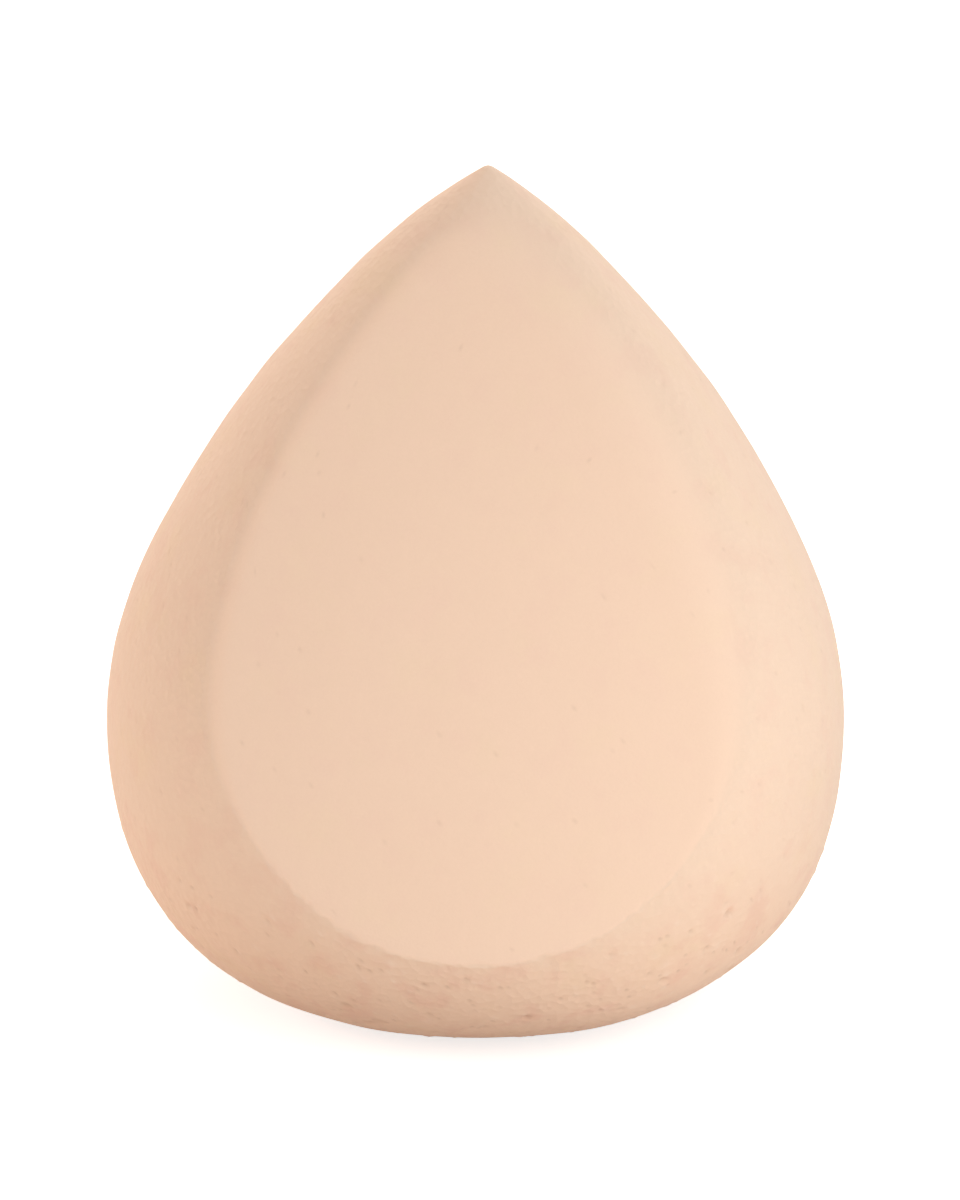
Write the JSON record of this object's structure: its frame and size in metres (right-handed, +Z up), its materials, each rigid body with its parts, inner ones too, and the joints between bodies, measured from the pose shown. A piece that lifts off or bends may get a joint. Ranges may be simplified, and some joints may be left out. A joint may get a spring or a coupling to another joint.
{
  "type": "makeup sponge",
  "caption": "Teardrop foam makeup sponge with a flat cut face that presses in, a soft point that bends, and a round base to stand on.",
  "frame": {"origin": "middle of the small flat that the sponge stands on", "axes": "+Z up along the teardrop's axis to its tip, -Y to the front where the cut face looks, +X to the right seen from the front"},
  "size_m": [0.052, 0.0503, 0.06],
  "materials": {
    "cut_foam": "matte fine open cells, knife cut",
    "moulded_foam": "matte moulded foam skin with small pores",
    "open_foam": "matte open-cell foam"
  },
  "bodies": {
    "back": {"back_skin": "moulded_foam", "flex_skin": "moulded_foam", "foam_core": "open_foam"},
    "front": {"front_skin": "moulded_foam", "flat_face": "cut_foam"},
    "point": {"tip": "moulded_foam"}
  },
  "joints": [
    {"name": "face_press", "type": "slide", "parent": "back", "child": "front", "axis": [0, 0.9171, -0.3987], "range_m": [0, 0.008], "stiffness_N_per_m": 350, "deforming": ["flex_skin", "foam_core"]},
    {"name": "tip_flex", "type": "hinge", "parent": "front", "child": "point", "pos_m": [0, 0.003, 0.04625], "axis": [1, 0, 0], "range_deg": [-15, 15], "stiffness_Nm_per_rad": 0.05, "deforming": ["flex_skin", "foam_core"]}
  ]
}
